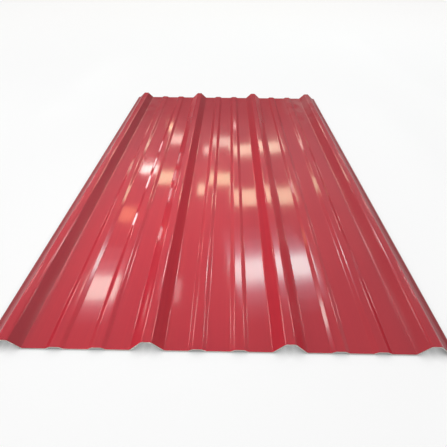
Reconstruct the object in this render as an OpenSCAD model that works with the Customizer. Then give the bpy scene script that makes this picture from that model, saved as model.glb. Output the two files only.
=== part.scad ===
// Ribbed plastic roof sheet: one extruded wall with four tall ribs and two low ribs in each pan.
// X runs across the ribs, Y runs along them, and Z is up. The origin is under the middle of the sheet.

/* [Sheet] */
// Length of the sheet along its ribs
sheet_length = 1800; // [600:50:6000]
// Thickness of the wall, the same everywhere
wall = 3; // [1.5:0.1:3]
// Width of the flat lip outside each outer rib
lip_width = 9; // [6:1:25]

/* [Tall ribs] */
// Number of tall ribs across the sheet
rib_count = 4; // [2:1:6]
// Distance from one tall rib to the next, centre to centre
rib_pitch = 305; // [280:1:330]
// Rise of a tall rib's crest above the pan
rib_rise = 25; // [20:0.5:36]
// Width of a tall rib between its foot bends
rib_foot = 73; // [68:1:84]
// Width of a tall rib's crest between its crest bends
rib_crest = 20; // [16:1:26]

/* [Low ribs] */
// Rise of a low rib's crest above the pan
low_rise = 5; // [3:0.5:7]
// Width of a low rib between its foot bends
low_foot = 39; // [34:1:44]
// Width of a low rib's crest between its crest bends
low_crest = 19; // [16:1:24]

/* [Bends] */
// Radius of every bend, at the middle of the wall
bend_radius = 8; // [3:0.5:10]
// Largest angle that one facet of a bend turns through, in degrees
facet_angle = 10; // [6:1:15]

/* [Hidden] */
skin_colour = [0.70, 0.22, 0.25];

// The low ribs split the pan between two tall ribs into three flats of one width
pan_flat = (rib_pitch - rib_foot - 2 * low_foot) / 3;
low_offset = (pan_flat + low_foot) / 2;
first_rib_x = -rib_pitch * (rib_count - 1) / 2;
half_width = -first_rib_x + rib_foot / 2 + lip_width;

// The four bend lines of a rib, as [x, height above the pan]
function rib_bends(centre, foot, crest, rise) = [
    [centre - foot / 2, 0],
    [centre - crest / 2, rise],
    [centre + crest / 2, rise],
    [centre + foot / 2, 0]
];

function tall_rib(i) = rib_bends(first_rib_x + i * rib_pitch, rib_foot, rib_crest, rib_rise);
function low_rib(i, side) =
    rib_bends(first_rib_x + (i + 0.5) * rib_pitch + side * low_offset, low_foot, low_crest, low_rise);

// Every bend line of the wall from the left edge to the right edge, with the two edges as its ends
function wall_line() = [
    [-half_width, 0],
    for (i = [0 : rib_count - 1])
        each concat(
            tall_rib(i),
            i < rib_count - 1 ? concat(low_rib(i, -1), low_rib(i, 1)) : []
        ),
    [half_width, 0]
];

function heading(a, b) = atan2(b[1] - a[1], b[0] - a[0]);
function left_of(angle) = [-sin(angle), cos(angle)];

// One face of a bend between two flats, where side is how far the face lies above the middle of the wall
function bend_face(before, corner, after, side) =
    let (
        into = heading(before, corner),
        turn = heading(corner, after) - into,
        up = sign(turn),
        start = corner - bend_radius * tan(abs(turn) / 2) * [cos(into), sin(into)],
        centre = start + up * bend_radius * left_of(into),
        steps = ceil(abs(turn) / facet_angle)
    )
    [for (k = [0 : steps]) centre + (side - up * bend_radius) * left_of(into + turn * k / steps)];

// One whole face of the wall, from the left edge to the right edge
function wall_face(line, side) = [
    line[0] + [0, side],
    for (i = [1 : len(line) - 2]) each bend_face(line[i - 1], line[i], line[i + 1], side),
    line[len(line) - 1] + [0, side]
];

function reversed(points) = [for (i = [len(points) - 1 : -1 : 0]) points[i]];

// The cut end of the sheet: its upper face, then its lower face back again, with the pans on the ground
module cross_section() {
    line = wall_line();
    translate([0, wall / 2])
        polygon(concat(wall_face(line, wall / 2), reversed(wall_face(line, -wall / 2))));
}

module roof_sheet() {
    color(skin_colour)
        rotate([90, 0, 0])
            linear_extrude(height = sheet_length, center = true)
                cross_section();
}

roof_sheet();
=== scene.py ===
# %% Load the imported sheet
import math
from functools import partial

import bpy
from mathutils import Matrix, Vector


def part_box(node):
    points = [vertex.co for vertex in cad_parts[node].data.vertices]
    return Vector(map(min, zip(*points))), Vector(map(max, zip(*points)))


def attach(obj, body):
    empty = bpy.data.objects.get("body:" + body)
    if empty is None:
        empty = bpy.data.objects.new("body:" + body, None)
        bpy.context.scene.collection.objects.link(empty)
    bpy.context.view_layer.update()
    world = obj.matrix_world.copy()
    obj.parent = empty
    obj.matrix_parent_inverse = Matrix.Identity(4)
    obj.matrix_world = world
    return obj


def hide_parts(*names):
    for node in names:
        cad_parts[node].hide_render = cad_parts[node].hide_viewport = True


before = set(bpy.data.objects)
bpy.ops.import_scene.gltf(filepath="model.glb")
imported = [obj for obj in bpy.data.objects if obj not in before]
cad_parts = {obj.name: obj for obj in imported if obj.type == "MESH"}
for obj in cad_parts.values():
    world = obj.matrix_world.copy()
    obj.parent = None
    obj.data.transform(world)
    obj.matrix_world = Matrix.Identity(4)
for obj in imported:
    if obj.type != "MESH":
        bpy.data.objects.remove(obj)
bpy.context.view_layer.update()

low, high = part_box("roof_sheet")
print("the sheet reaches from", tuple(low), "to", tuple(high))

# %% [markdown]
# ## The sheet and its sizes
# A plastic roof tile sheet is one long wall of even thickness. An extruder pushes soft PVC through a
# flat die, a thin red skin is laid on top of it in the same die, and a row of rollers folds the warm
# band into ribs. Four tall ribs stiffen the sheet and lap over its neighbours, and two low ribs in
# each pan keep the flat stretches from rattling.
# Everything here is in metres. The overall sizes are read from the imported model, so that the looks
# can't drift away from it, and the widths of the ribs are written down once, under their real names.

# %% Sizes of the sheet
sheet_width = high.x - low.x
sheet_length = high.y - low.y
sheet_height = high.z - low.z
wall = 0.003
rib_count = 4
rib_pitch = 0.305
rib_foot = 0.073
rib_crest = 0.020
rib_rise = sheet_height - wall
low_rise = 0.005
low_foot = 0.039
low_crest = 0.019
bend_radius = 0.008
pan_flat = (rib_pitch - rib_foot - 2 * low_foot) / 3
low_offset = (pan_flat + low_foot) / 2
outer_rib = rib_pitch * (rib_count - 1) / 2
print(f"a flat is {pan_flat * 1000:.1f} mm wide, and a tall rib rises {rib_rise * 1000:.0f} mm above it")

# %% [markdown]
# ## The camera
# The camera comes before anything else, because every finish is judged through it. It stands at the
# near end of the sheet, a little right of the middle, as high as the eyes of someone who kneels, and
# looks down along the ribs. A short lens that close makes the ribs run together at the far end.
# A camera looks along its own minus Z, so the three directions of its frame are worked out from how
# far it turns, tips and leans, and become the columns of its matrix.

# %% Camera
camera_place = Vector((0.0142, -1.475, 0.713))
camera_turn = math.radians(-0.56)
camera_tip = math.radians(33.68)
camera_lean = math.radians(-0.50)
sensor_width = 36.0
focal_length = 33.05

forward = Vector((
    math.sin(camera_turn) * math.cos(camera_tip),
    math.cos(camera_turn) * math.cos(camera_tip),
    -math.sin(camera_tip),
))
level_right = Vector((math.cos(camera_turn), -math.sin(camera_turn), 0.0))
level_up = level_right.cross(forward)
right = math.cos(camera_lean) * level_right - math.sin(camera_lean) * level_up
up = math.sin(camera_lean) * level_right + math.cos(camera_lean) * level_up

camera_data = bpy.data.cameras.new("camera")
camera_data.sensor_width = sensor_width
camera_data.lens = focal_length
camera = bpy.data.objects.new("camera", camera_data)
camera_axes = Matrix((right, up, -forward)).transposed().to_4x4()
camera.matrix_world = Matrix.Translation(camera_place) @ camera_axes
bpy.context.scene.collection.objects.link(camera)
bpy.context.scene.camera = camera
print(f"the camera looks {math.degrees(camera_tip):.1f} degrees down through a {focal_length} mm lens")

# %% [markdown]
# ## A helper for colours
# Colours are written as the hex values that a paint card would give. Blender's shaders work with
# light, so one function turns such a value into linear numbers.

# %% Colours
def from_hex(code):
    values = [int(code[i:i + 2], 16) / 255 for i in (1, 3, 5)]
    linear = [v / 12.92 if v <= 0.04045 else ((v + 0.055) / 1.055) ** 2.4 for v in values]
    return (*linear, 1.0)


print("a mid grey card, #808080, gives", round(from_hex("#808080")[0], 3), "of the light back")

# %% [markdown]
# ## A helper for nodes
# One function adds any node to any tree, sets it up and links it, for shaders and geometry alike. A
# node's own properties come as settings. Its inputs come by name or by number, and each one is a plain
# value, the output of another node, or that node itself, which stands for its first output. A list
# links several nodes into one input.

# %% Nodes
def fill(node, inputs):
    sockets = [s for s in node.inputs if s.enabled]
    for name, given in inputs.items():
        socket = sockets[name] if isinstance(name, int) else next(s for s in sockets if s.name == name)
        for value in given if isinstance(given, list) else [given]:
            if isinstance(value, bpy.types.Node):
                value = next(s for s in value.outputs if s.enabled)
            if isinstance(value, bpy.types.NodeSocket):
                node.id_data.links.new(value, socket)
            else:
                socket.default_value = value


def add_node(tree, kind, inputs=None, **settings):
    node = tree.nodes.new(kind)
    for name, value in settings.items():
        setattr(node, name, value)
    fill(node, inputs or {})
    return node


print("nodes of any kind can be added by name")

# %% [markdown]
# ## Short names for common nodes
# Four kinds of step come up again and again, so each has a short name of its own: plain maths, a
# ramp that maps one range of values onto another, the same ramp with soft ends, and a blend of two
# colours. Each takes the function that adds nodes to the tree in hand, so the names serve every tree.

# %% Maths, ramps and blends
def maths(add, operation, *values):
    return add("ShaderNodeMath", dict(enumerate(values)), operation=operation)


def ramp(add, value, start, end, low=0.0, high=1.0, **settings):
    return add("ShaderNodeMapRange", {0: value, 1: start, 2: end, 3: low, 4: high}, **settings)


def blend(add, share, first, second):
    return add("ShaderNodeMix", {0: share, 1: first, 2: second}, data_type="RGBA")


soft_ramp = partial(ramp, interpolation_type="SMOOTHSTEP")
print("short names:", maths.__name__, ramp.__name__, "and", blend.__name__)

# %% [markdown]
# ## The sheet as a rule
# The sheet could be modelled by hand, with one long extrusion, but its shape is a rule: the same rib,
# set four times at one pitch, with the same low rib set twice in each pan. Geometry Nodes hold such a
# rule well, and every size stays a named input.
# The tree works in four moves. It draws one tall and one low rib as a folded line and rounds the
# folds to the roller's radius. It sets the lines side by side, so that they join into the line of the
# whole sheet. It pulls the columns of a plain grid onto that line, which gives the middle of the
# wall. Last, it pushes that face out by the wall's thickness, with clean sides all around.

# %% Start the tree with named inputs
tree = bpy.data.node_groups.new("roof sheet by its sizes", "GeometryNodeTree")
tree.is_modifier = True
tree.interface.new_socket("Geometry", in_out="OUTPUT", socket_type="NodeSocketGeometry")
size_inputs = {
    "Sheet length": sheet_length,
    "Sheet width": sheet_width,
    "Wall": wall,
    "Rib pitch": rib_pitch,
    "Rib foot": rib_foot,
    "Rib crest": rib_crest,
    "Rib rise": rib_rise,
    "Low rib foot": low_foot,
    "Low rib crest": low_crest,
    "Low rib rise": low_rise,
    "Low rib offset": low_offset,
    "Half flat": pan_flat / 2,
    "Bend radius": bend_radius,
    "Sample spacing": 0.008,
    "Waviness": 0.00035,
    "Wave length": 0.26,
}
count_inputs = {"Ribs": rib_count, "Rows": 61, "Seed": 7}
material_inputs = ("Skin", "Body")
for name in size_inputs:
    tree.interface.new_socket(name, in_out="INPUT", socket_type="NodeSocketFloat")
for name in count_inputs:
    tree.interface.new_socket(name, in_out="INPUT", socket_type="NodeSocketInt")
for name in material_inputs:
    tree.interface.new_socket(name, in_out="INPUT", socket_type="NodeSocketMaterial")
shape = partial(add_node, tree)
sizes = shape("NodeGroupInput").outputs
print("the tree has", len(tree.interface.items_tree) - 1, "inputs")

# %% [markdown]
# ## One rib as a folded line
# A rib's line has six points: two at its crest, two at its foot, and two halfway along the flats
# beside it, where the next rib's line takes over. Their heights need no table, because a clamped map
# from the foot to the crest gives them.

# %% Fold a line into a rib
def folded_line(foot, crest, rise):
    half_foot = maths(shape, "MULTIPLY", foot, 0.5)
    half_crest = maths(shape, "MULTIPLY", crest, 0.5)
    reach = maths(shape, "ADD", half_foot, sizes["Half flat"])
    right_side = [half_crest, half_foot, reach]
    left_side = [maths(shape, "MULTIPLY", x, -1.0) for x in right_side[::-1]]
    corners = left_side + right_side
    across = shape("GeometryNodeIndexSwitch", data_type="FLOAT")
    while len(across.index_switch_items) < len(corners):
        across.index_switch_items.new()
    index = shape("GeometryNodeInputIndex")
    fill(across, {"Index": index, **{str(number): x for number, x in enumerate(corners)}})
    from_centre = maths(shape, "ABSOLUTE", across)
    height = ramp(shape, from_centre, half_foot, half_crest, 0.0, rise)
    folded = shape("GeometryNodeSetPosition", {
        "Geometry": shape("GeometryNodeMeshLine", {"Count": len(corners)}),
        "Position": shape("ShaderNodeCombineXYZ", {"X": across, "Z": height}),
    })
    return shape("GeometryNodeMeshToCurve", {"Mesh": folded})


folded_ribs = [
    folded_line(sizes["Rib foot"], sizes["Rib crest"], sizes["Rib rise"]),
    folded_line(sizes["Low rib foot"], sizes["Low rib crest"], sizes["Low rib rise"]),
]
print("the folded lines take", len(tree.nodes), "nodes")

# %% [markdown]
# ## Round bends in the line
# Fillet Curve bends each corner to a true arc, and Subdivide Curve cuts only the long straight
# stretches, by their own length, so that the arcs stay fine and the flats get just enough points to
# carry a slight waviness.
# Each point also keeps the direction that is square to the wall there. The wall gets its thickness
# along it later on, which keeps it even around the bends.

# %% Bend the line
arc_cuts = 8


def bent_line(folded):
    bent = shape("GeometryNodeFilletCurve", {
        "Curve": folded,
        "Radius": sizes["Bend radius"],
        "Count": arc_cuts,
    }, mode="POLY")
    position = shape("GeometryNodeInputPosition")
    index = shape("GeometryNodeInputIndex")
    next_position = shape("GeometryNodeFieldAtIndex", {
        "Index": maths(shape, "ADD", index, 1.0),
        "Value": position,
    }, domain="POINT", data_type="FLOAT_VECTOR")
    gap = shape("ShaderNodeVectorMath", {0: position, 1: next_position}, operation="DISTANCE")
    gap_in_samples = maths(shape, "DIVIDE", gap, sizes["Sample spacing"])
    cuts = maths(shape, "FLOOR", gap_in_samples)
    sampled = shape("GeometryNodeSubdivideCurve", {"Curve": bent, "Cuts": cuts})
    tangent = shape("GeometryNodeInputTangent")
    outward = shape("ShaderNodeVectorMath", {0: tangent, 1: (0.0, 1.0, 0.0)}, operation="CROSS_PRODUCT")
    marked = shape("GeometryNodeStoreNamedAttribute", {
        "Geometry": sampled,
        "Name": "outward",
        "Value": outward,
    }, data_type="FLOAT_VECTOR", domain="POINT")
    return shape("GeometryNodeCurveToMesh", {"Curve": marked})


tall_rib_line, low_rib_line = [bent_line(folded) for folded in folded_ribs]
print("with their bends, the two lines take", len(tree.nodes), "nodes")

# %% [markdown]
# ## The ribs side by side
# Both ribs are instances on points, as they would be on a plan: a tall rib at every pitch, and a low
# rib to either side of the middle of each pan. One function sets a row of them, and the three rows
# together make the whole line.

# %% Set the ribs at their pitch
def ribs_in_a_row(line, count, first_x):
    points = shape("GeometryNodeMeshLine", {
        "Count": count,
        "Start Location": shape("ShaderNodeCombineXYZ", {"X": first_x}),
        "Offset": shape("ShaderNodeCombineXYZ", {"X": sizes["Rib pitch"]}),
    })
    return shape("GeometryNodeInstanceOnPoints", {"Points": points, "Instance": line})


pans = maths(shape, "SUBTRACT", sizes["Ribs"], 1.0)
half_pans = maths(shape, "MULTIPLY", pans, -0.5)
first_rib = maths(shape, "MULTIPLY", half_pans, sizes["Rib pitch"])
half_pitch = maths(shape, "MULTIPLY", sizes["Rib pitch"], 0.5)
first_pan = maths(shape, "ADD", first_rib, half_pitch)
left_low = maths(shape, "SUBTRACT", first_pan, sizes["Low rib offset"])
right_low = maths(shape, "ADD", first_pan, sizes["Low rib offset"])
all_ribs = shape("GeometryNodeJoinGeometry", {0: [
    ribs_in_a_row(tall_rib_line, sizes["Ribs"], first_rib),
    ribs_in_a_row(low_rib_line, pans, left_low),
    ribs_in_a_row(low_rib_line, pans, right_low),
]})
print("three rows of ribs bring the tree to", len(tree.nodes), "nodes")

# %% [markdown]
# ## One clean profile
# Each line reaches exactly halfway across the flat next to it, so the ends meet, and Merge by Distance
# joins them. The outer ribs have only a narrow lip beside them. Whatever reaches past the sheet's
# width is pushed back to its edge and merges there. Sorting the points from left to right numbers
# them in order.

# %% Trim and join the profile
join_distance = 0.00002
plain_lines = shape("GeometryNodeRealizeInstances", {"Geometry": all_ribs})
on_line = shape("ShaderNodeSeparateXYZ", {0: shape("GeometryNodeInputPosition")}).outputs
right_edge = maths(shape, "MULTIPLY", sizes["Sheet width"], 0.5)
left_edge = maths(shape, "MULTIPLY", right_edge, -1.0)
not_too_left = maths(shape, "MAXIMUM", on_line["X"], left_edge)
kept_x = maths(shape, "MINIMUM", not_too_left, right_edge)
trimmed = shape("GeometryNodeSetPosition", {
    "Geometry": plain_lines,
    "Position": shape("ShaderNodeCombineXYZ", {"X": kept_x, "Z": on_line["Z"]}),
})
joined = shape("GeometryNodeMergeByDistance", {"Geometry": trimmed, "Distance": join_distance})
profile = shape("GeometryNodeSortElements", {
    "Geometry": joined,
    "Sort Weight": on_line["X"],
}, domain="POINT")
print("the profile joins points closer than", join_distance * 1000, "mm")

# %% [markdown]
# ## The grid pulled onto the profile
# A grid has one column for each point of the profile and a row about every 30 mm along the sheet.
# Every column takes its place and its outward direction from the profile's point of the same number.

# %% Pull a grid onto the profile
column_count = shape("GeometryNodeAttributeDomainSize", {"Geometry": profile})
grid = shape("GeometryNodeMeshGrid", {
    "Size X": sizes["Sheet width"],
    "Size Y": sizes["Sheet length"],
    "Vertices X": column_count,
    "Vertices Y": sizes["Rows"],
})
grid_number = shape("GeometryNodeInputIndex")
column_share = maths(shape, "DIVIDE", grid_number, sizes["Rows"])
column = maths(shape, "FLOOR", column_share)
position = shape("GeometryNodeInputPosition")
outward = shape("GeometryNodeInputNamedAttribute", {"Name": "outward"}, data_type="FLOAT_VECTOR")
column_place, column_outward = [
    shape("GeometryNodeSampleIndex", {
        "Geometry": profile,
        "Value": value,
        "Index": column,
    }, data_type="FLOAT_VECTOR", domain="POINT")
    for value in (position, outward)
]
on_profile = shape("ShaderNodeSeparateXYZ", {0: column_place}).outputs
on_grid = shape("ShaderNodeSeparateXYZ", {0: position}).outputs
half_wall = maths(shape, "MULTIPLY", sizes["Wall"], 0.5)
wall_middle = maths(shape, "ADD", on_profile["Z"], half_wall)
on_sheet = shape("ShaderNodeCombineXYZ", {"X": on_profile["X"], "Y": on_grid["Y"], "Z": wall_middle})
middle_face = shape("GeometryNodeSetPosition", {"Geometry": grid, "Position": on_sheet})
print("one row about every", round(sheet_length / (count_inputs["Rows"] - 1) * 1000), "mm")

# %% [markdown]
# ## A sheet that is almost flat
# A real sheet is never quite flat. It cools unevenly and bends a little as it is handled, and a glossy
# surface shows that at once, because every lamp that it mirrors shifts from one pan to the next.
# So the flats rise and sink by a few tenths of a millimetre in a slow noise, whose waves are longer
# along the sheet than across it. The noise fades out towards all four edges, it only lifts the pans
# and only lowers the crests, and so the sheet keeps its outer size.

# %% Let the flats wave a little
edge_fade = 0.06
wave_stretch = (1.6, 0.6, 0.0)
half_length = maths(shape, "MULTIPLY", sizes["Sheet length"], 0.5)
wave = shape("ShaderNodeTexNoise", {
    "Vector": shape("ShaderNodeVectorMath", {0: position, 1: wave_stretch}, operation="MULTIPLY"),
    "W": sizes["Seed"],
    "Scale": maths(shape, "DIVIDE", 1.0, sizes["Wave length"]),
    "Detail": 1.0,
}, noise_dimensions="4D")
up_or_down = ramp(shape, on_grid["Z"], 0.0, sizes["Rib rise"], 1.0, -1.0)
wave = maths(shape, "MULTIPLY", wave, up_or_down)
for axis, edge in (("X", right_edge), ("Y", half_length)):
    out_from_middle = maths(shape, "ABSOLUTE", on_grid[axis])
    fade_end = maths(shape, "SUBTRACT", edge, edge_fade)
    fade = ramp(shape, out_from_middle, edge, fade_end)
    wave = maths(shape, "MULTIPLY", wave, fade)
lift = maths(shape, "MULTIPLY", wave, sizes["Waviness"])
waved_face = shape("GeometryNodeSetPosition", {
    "Geometry": middle_face,
    "Offset": shape("ShaderNodeCombineXYZ", {"Z": lift}),
})
print("the flats wave by up to", size_inputs["Waviness"] * 1000, "mm")

# %% [markdown]
# ## The wall's thickness
# The middle face first moves half a wall inwards and becomes the lower face. Extrude Mesh adds the
# upper face and the four cut edges to it. It would even out the directions from face to face, and the
# lips would end up a hair too wide, so it extrudes by nothing, and each point of the upper face then
# moves out along its own direction. A flipped copy of the lower face closes the shell.

# %% Thicken the wall
marked_face = shape("GeometryNodeStoreNamedAttribute", {
    "Geometry": waved_face,
    "Name": "outward",
    "Value": column_outward,
}, data_type="FLOAT_VECTOR", domain="POINT")
out_by_wall = shape("ShaderNodeVectorMath", {0: outward, "Scale": sizes["Wall"]}, operation="SCALE")
in_by_half = shape("ShaderNodeVectorMath", {0: out_by_wall, "Scale": -0.5}, operation="SCALE")
lower_face = shape("GeometryNodeSetPosition", {"Geometry": marked_face, "Offset": in_by_half})
extruded = shape("GeometryNodeExtrudeMesh", {
    "Mesh": lower_face,
    "Offset Scale": 0.0,
    "Individual": False,
}, mode="FACES").outputs
sorted_faces = shape("GeometryNodeStoreNamedAttribute", {
    "Geometry": extruded["Mesh"],
    "Name": "weather side",
    "Value": extruded["Top"],
}, data_type="BOOLEAN", domain="FACE")
weather_side = shape("GeometryNodeInputNamedAttribute", {"Name": "weather side"}, data_type="BOOLEAN")
upper_shell = shape("GeometryNodeSetPosition", {
    "Geometry": sorted_faces,
    "Selection": weather_side,
    "Offset": out_by_wall,
})
underside = shape("GeometryNodeFlipFaces", {"Mesh": lower_face})
shell = shape("GeometryNodeJoinGeometry", {0: [upper_shell, underside]})
closed = shape("GeometryNodeMergeByDistance", {"Geometry": shell, "Distance": join_distance})
print("the wall is", wall * 1000, "mm thick")

# %% [markdown]
# ## Two materials on one wall
# The extrusion knows which faces it made on top, so the red skin goes only there, and the cut edges
# and the underside show the pale body of the sheet, as on the real one.

# %% Hand out the materials
smooth = shape("GeometryNodeSetShadeSmooth", {"Geometry": closed, "Shade Smooth": True})
real = shape("GeometryNodeRealizeInstances", {"Geometry": smooth})
all_body = shape("GeometryNodeSetMaterial", {"Geometry": real, "Material": sizes["Body"]})
with_skin = shape("GeometryNodeSetMaterial", {
    "Geometry": all_body,
    "Selection": weather_side,
    "Material": sizes["Skin"],
})
shape("NodeGroupOutput", {0: with_skin})
print("the whole tree has", len(tree.nodes), "nodes")

# %% [markdown]
# ## Patterns in real sizes
# Both finishes are drawn by noise in the sheet's own coordinates, so nothing has to be unwrapped. Each
# pattern is a line in a table: how wide its marks are across the sheet, along it and through it, in
# millimetres, and how rough they are. A noise that is narrow across the sheet and long along it turns
# into the lines that any extruded sheet has.

# %% Patterns from a table
def new_material(name):
    material = bpy.data.materials.new(name)
    material.use_nodes = True
    material.node_tree.nodes.clear()
    return material


def patterns(add, place, table):
    made = {}
    for seed, (name, (across, along, through, detail)) in enumerate(table.items()):
        marks_per_metre = tuple(1000 / size for size in (across, along, through))
        stretched = add("ShaderNodeMapping", {"Vector": place, "Scale": marks_per_metre})
        inputs = {"Vector": stretched, "W": seed + 1.0, "Scale": 1.0, "Detail": detail, "Roughness": 0.55}
        made[name] = add("ShaderNodeTexNoise", inputs, noise_dimensions="4D")
    print("patterns:", ", ".join(made))
    return made


print("a pattern 5 mm wide makes", 1000 // 5, "marks in a metre")

# %% [markdown]
# ## Glossy red skin
# The top of the sheet is a thin skin of pigmented acrylic over PVC, laid on in the extruder's die and
# cooled against polished rollers. To the eye it is a strong, slightly cool red under a smooth gloss,
# which mirrors every lamp. One lobe of gloss at the acrylic's index of 1.5 is enough, because a clear
# coat on top would double each reflection at low angles.
# Small faults make it look real. The die leaves lines about 5 mm apart and tints the red by a hair,
# the rollers leave a slight orange peel 4 mm wide, and the colour drifts slowly over a hand's width.
# The real orange peel and die lines are nearer to 1 mm wide, which is too fine to show from here, so
# both are drawn coarser.

# %% Red skin, its patterns and colour
red_skin = new_material("co-extruded acrylic skin, roller polished")
skin = partial(add_node, red_skin.node_tree)
place = skin("ShaderNodeTexCoord").outputs["Object"]
across, along = skin("ShaderNodeSeparateXYZ", {0: place}).outputs[:2]
marks = patterns(skin, place, {
    "die lines": (5, 900, 20, 3.0),
    "broad bands": (45, 1600, 200, 1.0),
    "cloud": (160, 280, 200, 2.0),
    "orange peel": (4, 6, 4, 1.0),
    "wiped": (50, 110, 50, 4.0),
    "scuffs": (2.5, 260, 20, 1.0),
})
line_red = from_hex("#BC2938")
plain_red = from_hex("#C22B38")
band_red = from_hex("#B72636")
cloud_red = from_hex("#C8303A")
lined = ramp(skin, marks["die lines"], 0.35, 0.65)
red = blend(skin, lined, line_red, plain_red)
banded = ramp(skin, marks["broad bands"], 0.35, 0.65, 0.0, 0.5)
red = blend(skin, banded, red, band_red)
clouded = ramp(skin, marks["cloud"], 0.35, 0.70, 0.0, 0.4)
red = blend(skin, clouded, red, cloud_red)
print("the red is mixed from", len(marks), "patterns")

# %% [markdown]
# ## Dust on the skin, and deeper red outer sides
# A sheet that has been stored and wiped keeps a thin dry film. It lies in faint swirls on the outer
# pans towards the far end, more of it on the right. A little of it lies on the outer sides too, more
# on the left, and the outer sides are also mixed towards a deeper red. The film could be painted by
# hand, but a mask made of soft ramps in the sheet's own coordinates, times the wiped pattern, needs no
# unwrapping and stays sharp. It tints the red only slightly.
# Where a ramp runs across or along the sheet, its ends are in metres from the sheet's middle. What
# differs from side to side changes evenly from the left pan to the right one.

# %% Red skin, its dust and deeper red outer sides
left_pan = -0.2
right_pan = 0.2
outer_bend = outer_rib + rib_crest / 2
bend_width = 0.007
film_cover = 0.22
film_grey = from_hex("#B9AAA6")
deep_red = from_hex("#7E2029")

from_middle = maths(skin, "ABSOLUTE", across)
outer_side = soft_ramp(skin, from_middle, outer_bend, outer_bend + bend_width)
outer_pan = soft_ramp(skin, from_middle, 0.27, 0.41)
more_on_right = soft_ramp(skin, across, left_pan, right_pan, 0.35)
far_half = soft_ramp(skin, along, 0.30, 0.84)
far_end = soft_ramp(skin, along, 0.62, 0.86, 0.0, 0.10)
swirls = soft_ramp(skin, marks["wiped"], 0.30, 0.62)
outer_film = maths(skin, "MULTIPLY", outer_pan, more_on_right)
far_film = maths(skin, "MULTIPLY", outer_film, far_half)
film_area = maths(skin, "MAXIMUM", far_film, far_end)
wiped_film = maths(skin, "MULTIPLY", film_area, swirls)
more_on_left = ramp(skin, across, left_pan, right_pan, 0.35, 0.1)
side_film = maths(skin, "MULTIPLY", outer_side, more_on_left)
film = maths(skin, "MAXIMUM", wiped_film, side_film)
film_tint = maths(skin, "MULTIPLY", film, film_cover)
dusted = blend(skin, film_tint, red, film_grey)
# The outer sides, from the outer crest bends outwards, are mixed more than halfway towards the deeper red.
outer_dark_share = ramp(skin, across, left_pan, right_pan, 0.6, 0.55)
outer_darkening = maths(skin, "MULTIPLY", outer_side, outer_dark_share)
outer_darkened = blend(skin, outer_darkening, dusted, deep_red)
print("grime covers the outer sides from", round(outer_bend * 1000), "mm outwards")

# %% [markdown]
# ## Painted shade on the steep slopes
# Some steep slopes are painted a deeper red, as painted shade where the hall gives them less light:
# most of all on the inner slope of the left outer rib, less on the same side of the next rib, and a
# little on the inner slope of the right outer rib. Which way a face leans says where a slope is, so
# the painted shade needs no mask of its own, and it follows the rounded bends.

# %% Red skin, painted shade on the slopes
facing = skin("ShaderNodeSeparateXYZ", {0: skin("ShaderNodeNewGeometry").outputs["Normal"]}).outputs
lean_start = 0.50
lean_end = 0.66
# Painted shade: steep slopes that face right, strongest towards the left edge of the sheet.
steep_right = soft_ramp(skin, facing["X"], lean_start, lean_end)
near_left = ramp(skin, across, -0.45, 0.15, 0.42, 0.0)
right_slope_shade = maths(skin, "MULTIPLY", steep_right, near_left)
steep_left = soft_ramp(skin, facing["X"], -lean_start, -lean_end)
near_right = ramp(skin, across, 0.2, 0.45, 0.0, 0.13)
left_slope_shade = maths(skin, "MULTIPLY", steep_left, near_right)
painted_slope_shade = maths(skin, "MAXIMUM", right_slope_shade, left_slope_shade)
# Painted shade: the chosen slopes are mixed towards the deeper red.
red_with_slope_shade = blend(skin, painted_slope_shade, outer_darkened, deep_red)
print("a slope gets deeper from a lean of", round(math.degrees(math.asin(lean_start))), "degrees")

# %% [markdown]
# ## Where the skin is dull
# The outer sides lose their gloss, and so do the slopes that look away from the middle, more
# and more towards the far end, and the inner feet of the two outer ribs, where dust collects in the
# bend. Each place is a mask again, and the strongest of them wins.

# %% Red skin, its dull places
side_of_sheet = maths(skin, "SIGN", across)
away = maths(skin, "MULTIPLY", side_of_sheet, facing["X"])
away_slope = soft_ramp(skin, away, 0.35, 0.60)
towards_far = soft_ramp(skin, along, 0.25, 0.78)
dull_slope = maths(skin, "MULTIPLY", away_slope, towards_far)
dull_area = maths(skin, "MAXIMUM", outer_side, dull_slope)

outer_foot = outer_rib - rib_foot / 2
past_foot = maths(skin, "SUBTRACT", from_middle, outer_foot)
from_foot = maths(skin, "ABSOLUTE", past_foot)
foot_dust = soft_ramp(skin, from_foot, 0.011, 0.003, 0.0, 0.3)
dull_area = maths(skin, "MAXIMUM", dull_area, foot_dust)
print("dust lies along the outer ribs,", round(outer_foot * 1000), "mm from the middle")

# %% [markdown]
# ## Gloss and relief of the skin
# Clean acrylic that has been rolled is smooth, with a roughness between 0.06 and 0.08 that drifts
# with the colour. The film, the dull places and a few fine scuffs along the sheet add to it.
# The relief is only bump, because it is far too shallow to change the sheet's outline: 6 microns of
# orange peel, 20 of die lines, and 0.12 mm for the broad bands that make straight lamps waver.

# %% Red skin, its gloss and relief
film_roughness = 0.10
worn_roughness = 0.45
scuff_roughness = 0.05
relief_depths = {"orange peel": 0.000006, "die lines": 0.000020, "broad bands": 0.000120}

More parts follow.
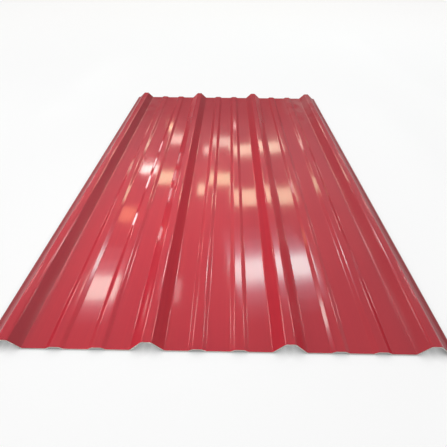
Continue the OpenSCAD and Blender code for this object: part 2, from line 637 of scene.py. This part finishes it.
gloss_drift = maths(skin, "ADD", marks["die lines"], marks["cloud"])
clean_gloss = soft_ramp(skin, gloss_drift, 0.8, 1.2, 0.058, 0.084)
scuffed = ramp(skin, marks["scuffs"], 0.70, 0.78, 0.0, scuff_roughness)
film_dulls = maths(skin, "MULTIPLY", film, film_roughness)
area_dulls = maths(skin, "MULTIPLY", dull_area, worn_roughness)
dulled = maths(skin, "MAXIMUM", film_dulls, area_dulls)
dulled = maths(skin, "MAXIMUM", dulled, scuffed)
skin_roughness = maths(skin, "ADD", clean_gloss, dulled)
relief = None
for name, depth in relief_depths.items():
    inputs = {"Height": marks[name], "Distance": depth, "Strength": 1.0}
    if relief is not None:
        inputs["Normal"] = relief
    relief = skin("ShaderNodeBump", inputs)
surface = skin("ShaderNodeBsdfPrincipled", {
    "Base Color": red_with_slope_shade,
    "Roughness": skin_roughness,
    "IOR": 1.5,
    "Normal": relief,
})
skin("ShaderNodeOutputMaterial", {"Surface": surface})
print("the red skin has", len(red_skin.node_tree.nodes), "nodes")

# %% [markdown]
# ## Pale body, rolled or sawn
# Under the skin the sheet is plain rigid PVC, filled with chalk. The underside keeps the die's lines,
# 3 mm apart, and now and then a darker speck of scorched material. The cut edges show the marks of a
# saw with a tooth every 0.9 mm, which run through the wall. The real die lines are under 1 mm apart,
# too fine to show, so they are drawn coarser. Both kinds of mark are worked out on every face, and
# the direction of the face says which one shows.

# %% Pale body, its patterns and cut edges
pale_body = new_material("rigid PVC body, extruded and sawn")
body = partial(add_node, pale_body.node_tree)
place = body("ShaderNodeTexCoord").outputs["Object"]
marks = patterns(body, place, {
    "die lines": (3, 700, 20, 3.0),
    "saw marks": (0.9, 0.9, 12, 2.0),
    "chalk": (120, 200, 100, 3.0),
    "specks": (4, 7, 4, 0.0),
})
edge_slack = 0.0005
facing = body("ShaderNodeSeparateXYZ", {0: body("ShaderNodeNewGeometry").outputs["True Normal"]}).outputs
above = body("ShaderNodeSeparateXYZ", {0: place}).outputs["Z"]
end_facing = maths(body, "ABSOLUTE", facing["Y"])
side_facing = maths(body, "ABSOLUTE", facing["X"])
cut_end = ramp(body, end_facing, 0.5, 0.9)
cut_side = ramp(body, side_facing, 0.8, 0.95)
at_lip = ramp(body, above, wall + edge_slack, wall)
cut_lip = maths(body, "MULTIPLY", cut_side, at_lip)
sawn = maths(body, "MAXIMUM", cut_end, cut_lip)
print("the saw has cut both ends, and both lips up to", wall * 1000, "mm")

# %% [markdown]
# ## Colour and relief of the body
# Chalk-filled PVC has an index of 1.53, and to the eye it is an off-white that is dull and slightly
# chalky. It is a shade paler where the saw has torn it, and rougher too. The relief is only bump, 40
# microns deep, because the marks are far too fine to change the outline.

# %% Pale body, its colour and relief
grey_pvc = from_hex("#DDD6CF")
plain_pvc = from_hex("#E8E2DC")
line_pvc = from_hex("#CFC8C0")
scorched_pvc = from_hex("#8C8076")
torn_pvc = from_hex("#F1ECE8")
rolled_roughness = 0.42
sawn_roughness = 0.75
mark_depth = 0.00004

chalky = ramp(body, marks["chalk"], 0.35, 0.65)
pvc = blend(body, chalky, grey_pvc, plain_pvc)
lined = ramp(body, marks["die lines"], 0.55, 0.75, 0.0, 0.35)
pvc = blend(body, lined, pvc, line_pvc)
specked = ramp(body, marks["specks"], 0.80, 0.86, 0.0, 0.6)
pvc = blend(body, specked, pvc, scorched_pvc)
torn = ramp(body, marks["saw marks"], 0.40, 0.65, 0.15, 0.60)
torn_where_sawn = maths(body, "MULTIPLY", sawn, torn)
pvc = blend(body, torn_where_sawn, pvc, torn_pvc)
body_height = body("ShaderNodeMix", {0: sawn, 1: marks["die lines"], 2: marks["saw marks"]})
surface = body("ShaderNodeBsdfPrincipled", {
    "Base Color": pvc,
    "Roughness": ramp(body, sawn, 0.0, 1.0, rolled_roughness, sawn_roughness),
    "IOR": 1.53,
    "Normal": body("ShaderNodeBump", {"Height": body_height, "Distance": mark_depth, "Strength": 1.0}),
})
body("ShaderNodeOutputMaterial", {"Surface": surface})
print("the pale body has", len(pale_body.node_tree.nodes), "nodes")

# %% [markdown]
# ## From the rule to an object
# The tree hangs on an empty object as a modifier, and its inputs are set by each socket's identifier
# before Blender looks at the object for the first time. Two more modifiers finish it. A bevel of
# 0.3 mm takes the edge off the cut, as a saw and a rub with the hand do, and only where the faces
# meet steeply. Weighted normals keep the wide flats truly flat to the light, so that their shading
# doesn't lean into the bends.

# %% Hang the tree on an object
cut_bevel = 0.0003
bevel_from = math.radians(60)
blank = bpy.data.objects.new("sheet_by_rule", bpy.data.meshes.new("sheet_by_rule"))
bpy.context.scene.collection.objects.link(blank)
by_rule = blank.modifiers.new("sheet", "NODES")
by_rule.node_group = tree
values = {**size_inputs, **count_inputs, "Skin": red_skin, "Body": pale_body}
for item in tree.interface.items_tree:
    if item.in_out == "INPUT":
        by_rule[item.identifier] = values[item.name]
bevel = blank.modifiers.new("cut edges", "BEVEL")
bevel.width = cut_bevel
bevel.segments = 2
bevel.limit_method = "ANGLE"
bevel.angle_limit = bevel_from
weighted = blank.modifiers.new("flats lead", "WEIGHTED_NORMAL")
weighted.mode = "FACE_AREA"
print("the sheet is finished by", [modifier.name for modifier in blank.modifiers])

# %% [markdown]
# ## From the object to a plain mesh
# The evaluated result becomes a plain mesh, so nothing has to be worked out again later. It gets one
# slot for each material, the attributes that only the tree needed are taken off, and the object with
# the modifiers goes.

# %% Keep the result as a mesh
bpy.context.view_layer.update()
seen_by_blender = bpy.context.evaluated_depsgraph_get()
finished = blank.evaluated_get(seen_by_blender)
mesh = bpy.data.meshes.new_from_object(finished, preserve_all_data_layers=True, depsgraph=seen_by_blender)
mesh.name = "roof_tile_sheet"
used = [mesh.materials[polygon.material_index] for polygon in mesh.polygons]
mesh.materials.clear()
for material in (red_skin, pale_body):
    mesh.materials.append(material)
mesh.polygons.foreach_set("material_index", [int(material == pale_body) for material in used])
for name in ("outward", "weather side"):
    mesh.attributes.remove(mesh.attributes[name])
sheet = bpy.data.objects.new("roof_tile_sheet", mesh)
bpy.context.scene.collection.objects.link(sheet)
bpy.data.objects.remove(blank)

triangles = sum(len(polygon.vertices) - 2 for polygon in mesh.polygons)
print("the sheet has", triangles, "triangles")
print(used.count(red_skin), "faces are red and", used.count(pale_body), "are pale")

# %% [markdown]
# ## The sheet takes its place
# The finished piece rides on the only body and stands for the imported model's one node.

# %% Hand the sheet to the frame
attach(sheet, "root")
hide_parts("roof_sheet")
print("the sheet stands for the packed node roof_sheet")

# %% [markdown]
# ## A plain floor
# The sheet lies on a wide matt white floor. Low screens in the same paint stand far away on three
# sides, for a look at the sheet from the side or from behind. The fourth side, ahead of the camera,
# stays open, because the slopes mirror it. Floor and screens are one mesh, built from its corners.

# %% Floor and screens
floor_reach = 50.0
screen_height = 20.0
screen_end = 0.7 * floor_reach
floor_corners = [(x * floor_reach, y * floor_reach, 0.0) for x, y in ((-1, -1), (1, -1), (1, 1), (-1, 1))]
screen_line = [
    (-floor_reach, screen_end),
    (-floor_reach, -floor_reach),
    (floor_reach, -floor_reach),
    (floor_reach, screen_end),
]
screen_points = [(x, y, z) for z in (0.0, screen_height) for x, y in screen_line]
first_low = len(floor_corners)
first_high = first_low + len(screen_line)
screen_faces = [
    (first_low + i, first_high + i, first_high + i + 1, first_low + i + 1)
    for i in range(len(screen_line) - 1)
]
floor_mesh = bpy.data.meshes.new("floor")
floor_mesh.from_pydata(floor_corners + screen_points, [], [(0, 1, 2, 3)] + screen_faces)
floor = bpy.data.objects.new("floor", floor_mesh)
bpy.context.scene.collection.objects.link(floor)
print("the floor is", 2 * floor_reach, "m wide, with", len(screen_faces), "screens")

# %% [markdown]
# ## White paint for the floor
# Under soft light a white floor comes out light grey, so the part of it that the camera, a mirror or
# glass looks at is mixed with an even white glow. The rest of the light never meets that glow, so it
# adds nothing to the sheet.
# A glow has no shadow, so it is multiplied by Ambient Occlusion within 30 mm. That keeps the thin
# dark line where the sheet meets the floor, and the shade under the ribs.

# %% Floor paint
glow_share = 0.85
shade_reach = 0.03
floor_paint = new_material("matt white floor paint")
painted = partial(add_node, floor_paint.node_tree)
ray = painted("ShaderNodeLightPath").outputs
mirrored = maths(painted, "MAXIMUM", ray["Is Camera Ray"], ray["Is Glossy Ray"])
looked_at = maths(painted, "MAXIMUM", mirrored, ray["Is Transmission Ray"])
open_floor = painted("ShaderNodeAmbientOcclusion", {"Distance": shade_reach}, samples=16)
surface = painted("ShaderNodeMixShader", {
    0: maths(painted, "MULTIPLY", looked_at, glow_share),
    1: painted("ShaderNodeBsdfDiffuse", {"Color": from_hex("#EEEEEE")}),
    2: painted("ShaderNodeEmission", {"Color": open_floor, "Strength": 1.0}),
})
painted("ShaderNodeOutputMaterial", {"Surface": surface})
floor_mesh.materials.append(floor_paint)
print("the paint's own glow makes up", round(glow_share * 100), "% of what the camera sees")

# %% [markdown]
# ## The hall ahead
# The world is the hall around the sheet. A glossy sheet is mostly a picture of its surroundings, so
# their brightness is set by direction. Ahead of the camera the hall is dim near the ground, which
# keeps the slopes of the ribs dark, and gets paler towards the ceiling. A band of wall to both sides
# is slightly paler, which takes the hardest contrast out of the inner slopes of the outer ribs.
# The ramps work on the parts of a direction: its Z is 0 at the horizon and 1 straight overhead, its
# X is 1 to the right, and its Y is 1 straight ahead.

# %% World, ahead of the camera
ahead_by_height = [(0.0, 0.14), (0.28, 0.18), (0.32, 0.27), (0.37, 0.50)]
ahead_by_height += [(0.45, 0.63), (0.72, 0.66), (1.0, 0.60)]
band_glow = 0.17

world = bpy.data.worlds.new("hall")
bpy.context.scene.world = world
world.use_nodes = True
world.node_tree.nodes.clear()
sky = partial(add_node, world.node_tree)
direction = sky("ShaderNodeSeparateXYZ", {0: sky("ShaderNodeTexCoord").outputs["Generated"]}).outputs
ahead_glow = sky("ShaderNodeValToRGB", {0: direction["Z"]})
steps = ahead_glow.color_ramp.elements
while len(steps) < len(ahead_by_height):
    steps.new(0.5)
for step, (height, glow) in zip(steps, ahead_by_height):
    step.position = height
    step.color = (glow, glow, glow, 1.0)

sideways = maths(sky, "ABSOLUTE", direction["X"])
off_middle = soft_ramp(sky, sideways, 0.26, 0.36)
above_band = soft_ramp(sky, direction["Z"], 0.17, 0.25)
below_band = soft_ramp(sky, direction["Z"], 0.42, 0.31)
band = maths(sky, "MULTIPLY", above_band, below_band)
band = maths(sky, "MULTIPLY", band, off_middle)
band = maths(sky, "MULTIPLY", band, band_glow)
ahead_glow = maths(sky, "ADD", ahead_glow, band)
print("the hall's glow ahead, by height:", ahead_by_height)

# %% [markdown]
# ## The hall everywhere else
# Everywhere else there is a pale wall with an even, softer ceiling, which lights the sheet without
# showing in it. That wall is dimmer on the right, so the slopes that look right are the darker ones.
# The two halves of the hall are mixed by how far ahead a direction points.

# %% World, everywhere else
wall_glow = 0.66
ceiling_glow = 0.48
left_share = 1.03
right_share = 0.38
elsewhere_glow = soft_ramp(sky, direction["Z"], 0.12, 0.35, wall_glow, ceiling_glow)
dim_right = ramp(sky, direction["X"], 0.0, 0.9, left_share, right_share)
elsewhere_glow = maths(sky, "MULTIPLY", elsewhere_glow, dim_right)
is_ahead = soft_ramp(sky, direction["Y"], 0.25, 0.62)
light = sky("ShaderNodeMixShader", {
    0: is_ahead,
    1: sky("ShaderNodeBackground", {"Color": from_hex("#FFFFFF"), "Strength": elsewhere_glow}),
    2: sky("ShaderNodeBackground", {"Color": ahead_glow, "Strength": 1.0}),
})
sky("ShaderNodeOutputWorld", {"Surface": light})
print("the wall on the right gives", round(right_share / left_share * 100), "% of what the left one gives")

# %% [markdown]
# ## Lamps in rows
# Long rows of flat lamps hang under the ceiling far ahead, and the pans mirror them as bright patches,
# one for each lamp and pan. A flat pan turns the camera's view upwards like a mirror, so a lamp shows
# in a pan where the mirrored camera sees it, and each lamp's place follows from that. The row on the
# right hangs a little askew. Lamps far out to the left and right miss every flat and every slope, and
# show only as fine streaks along the bends.
# The nearest lamps sit behind a diffuser, so they fade out towards their long sides. They are built
# as a stack of boxes, each one deeper and dimmer than the one before. Every lamp hangs 2 mm above the
# last, because a ray that meets two lamps at exactly one height counts only one of them.
# The glow is how bright the lamp looks, and Blender wants its power instead, which for a flat lamp is
# four times its area times that glow.

# %% A flat lamp
ceiling = 2.8
lamp_step = 0.002


def soft_box(name, place, width, depth, glow, colour):
    data = bpy.data.lights.new(name, "AREA")
    data.shape = "RECTANGLE"
    data.size = width
    data.size_y = depth
    data.energy = 4 * width * depth * glow
    data.color = from_hex(colour)[:3]
    lamp = bpy.data.objects.new(name, data)
    lamp.location = place
    bpy.context.scene.collection.objects.link(lamp)
    return lamp


print("the ceiling is", ceiling, "m up")

# %% [markdown]
# ## Where the lamps hang
# Each line of the table is a lamp: its place across and along, its width and depth, its turn in
# degrees, its glow and its colour. Tube lamps lean to green, which turns to cream on the red sheet,
# and the one deep orange lamp is an old sodium lamp.

# %% Lamps under the ceiling
ceiling_lamps = {
    "left_near": (-1.52, 2.31, 0.42, 0.42, 0, 4.7, "#EAFFEE"),
    "left_near_rim": (-1.52, 2.31, 0.42, 0.62, 0, 1.3, "#F0FFFA"),
    "left_near_halo": (-1.52, 2.36, 0.42, 0.95, 0, 0.6, "#FFF0FA"),
    "left_near_haze": (-1.52, 2.45, 0.42, 1.40, 0, 0.4, "#FFF0FA"),
    "left_second": (-1.56, 4.03, 0.26, 0.42, 0, 3.0, "#FFB080"),
    "left_third": (-1.48, 5.66, 0.34, 0.38, 0, 7.5, "#FFFAF0"),
    "left_far": (-1.34, 7.86, 0.12, 0.40, 0, 6.6, "#FFE2B6"),
    "centre_near": (-0.66, 2.30, 0.20, 0.42, 0, 2.6, "#FFF8F4"),
    "centre_third": (-1.11, 5.33, 0.32, 0.50, 0, 3.7, "#F1FFCD"),
    "centre_third_edge": (-0.44, 4.90, 0.13, 0.36, 0, 4.9, "#FAFFD4"),
    "centre_third_right": (-0.135, 5.30, 0.45, 0.48, 0, 3.6, "#F6FFCC"),
    "centre_far": (-1.11, 7.20, 0.32, 0.52, 0, 3.1, "#FFEFDD"),
    "centre_far_edge": (-0.44, 6.62, 0.13, 0.36, 0, 3.8, "#FFF4E4"),
    "centre_far_right": (-0.135, 7.08, 0.45, 0.50, 0, 2.8, "#FFFEE8"),
    "right_near": (0.63, 2.77, 1.12, 0.38, 10, 3.2, "#DCFFF7"),
    "right_near_rim": (0.63, 2.77, 1.12, 0.54, 10, 2.4, "#DCFFF7"),
    "right_near_halo": (0.63, 2.78, 1.12, 0.72, 10, 1.4, "#DAFAFF"),
    "right_near_haze": (0.63, 2.79, 1.12, 0.95, 10, 0.6, "#D0F0FF"),
    "right_near_mist": (0.63, 2.80, 1.12, 1.30, 10, 0.6, "#D0F0FF"),
    "right_near_edge": (0.63, 2.85, 1.12, 1.80, 10, 0.3, "#D0F0FF"),
    "right_middle": (0.63, 4.70, 1.12, 0.54, 6, 3.9, "#FFFFD4"),
    "right_far": (0.63, 6.76, 1.14, 0.54, 17, 3.3, "#FFF9D7"),
    "right_last": (0.17, 8.11, 0.11, 0.34, 0, 3.6, "#FFE0D8"),
    "outer_right_near": (2.67, 2.75, 0.40, 0.60, 0, 14.0, "#FFFAF6"),
    "outer_right_middle": (2.67, 4.67, 0.40, 0.50, 0, 12.0, "#FFF0E0"),
    "outer_right_far": (2.67, 6.64, 0.40, 0.60, 0, 10.0, "#FFE8D8"),
    "outer_left_near": (-2.85, 2.75, 0.40, 0.60, 0, 14.0, "#FFFAF6"),
    "outer_left_middle": (-2.85, 4.67, 0.40, 0.50, 0, 12.0, "#FFF0E0"),
    "outer_left_far": (-2.85, 6.64, 0.40, 0.60, 0, 10.0, "#FFE8D8"),
}
for number, (name, sizes_and_glow) in enumerate(ceiling_lamps.items()):
    x, y, width, depth, turn, glow, colour = sizes_and_glow
    lamp = soft_box(name, (x, y, ceiling + number * lamp_step), width, depth, glow, colour)
    lamp.rotation_euler.z = math.radians(turn)
print(len(ceiling_lamps), "lamps hang there")

# %% [markdown]
# ## Low lamps beside the sheet
# The left slope of the second low rib looks neither at the ceiling nor at the floor, but at a narrow
# band just above the ground beside the sheet. Four short lamps stand there in a row, and the slope
# mirrors them as a line of white dashes, as the foot of the next tall rib does more faintly.
# The right slopes in the right pan look at such a band on the other side. A long dim strip stands
# there, which lifts them to the tone of the flats. All of these lamps stand upright, and are hidden
# from the camera itself. Each line of the table is a short lamp: its place along, its length and its
# glow.

# %% Low lamps
lamp_white = "#FFFFFF"
dash_x = -1.0
dash_height = 0.195
dash_width = 0.06
dashes = {
    "low_left_1": (0.67, 0.13, 5.2),
    "low_left_2": (1.17, 0.19, 3.9),
    "low_left_3": (1.48, 0.18, 3.2),
    "low_left_4": (1.81, 0.21, 1.9),
}
strip_place = (1.3, 1.5, 0.215)
strip_width = 0.27
strip_length = 3.6
strip_glow = 0.25

low_lamps = []
for name, (y, depth, glow) in dashes.items():
    lamp = soft_box(name, (dash_x, y, dash_height), dash_width, depth, glow, lamp_white)
    lamp.rotation_euler.y = math.radians(-90)
    low_lamps.append(lamp)
right_strip = soft_box("low_right", strip_place, strip_width, strip_length, strip_glow, lamp_white)
right_strip.rotation_euler.y = math.radians(90)
low_lamps.append(right_strip)
for lamp in low_lamps:
    lamp.visible_camera = False
print("low lamps:", ", ".join(lamp.name for lamp in low_lamps))

# %% [markdown]
# ## Lamps that only fill
# The sheet is brightest a third of the way along, and the slopes that look left are brighter than
# those that look right. A small lamp above and a low one at the left do that. One above the far end
# keeps it from going dark, and a low one close to the right edge lifts the slopes of the right pan.
# None of them shows in the gloss, as a lamp behind a large cloth wouldn't. Each line of the table is
# a lamp: its place, its width and depth, its glow, and how far it leans to the left or right.

# %% Fill lamps
fill_lamps = {
    "above_fill": ((-0.17, -0.38, 1.4), 0.3, 1.15, 0.93, 0),
    "left_fill": ((-2.2, -0.3, 0.75), 1.4, 1.4, 2.5, -70),
    "far_fill": ((-0.1, 0.80, 1.4), 1.0, 0.3, 1.8, 0),
    "right_fill": ((0.9, -0.2, 0.32), 0.2, 2.0, 1.0, 90),
}
for name, (place, width, depth, glow, lean) in fill_lamps.items():
    lamp = soft_box(name, place, width, depth, glow, lamp_white)
    lamp.rotation_euler.y = math.radians(lean)
    lamp.visible_glossy = False
    print(name, "gives", round(lamp.data.energy, 2), "W")
bpy.data.lights["above_fill"].spread = math.radians(55)

# %% [markdown]
# ## Finish
# The plain Standard view shows each colour about as it is written.

# %% Finish
bpy.context.scene.view_settings.view_transform = "Standard"
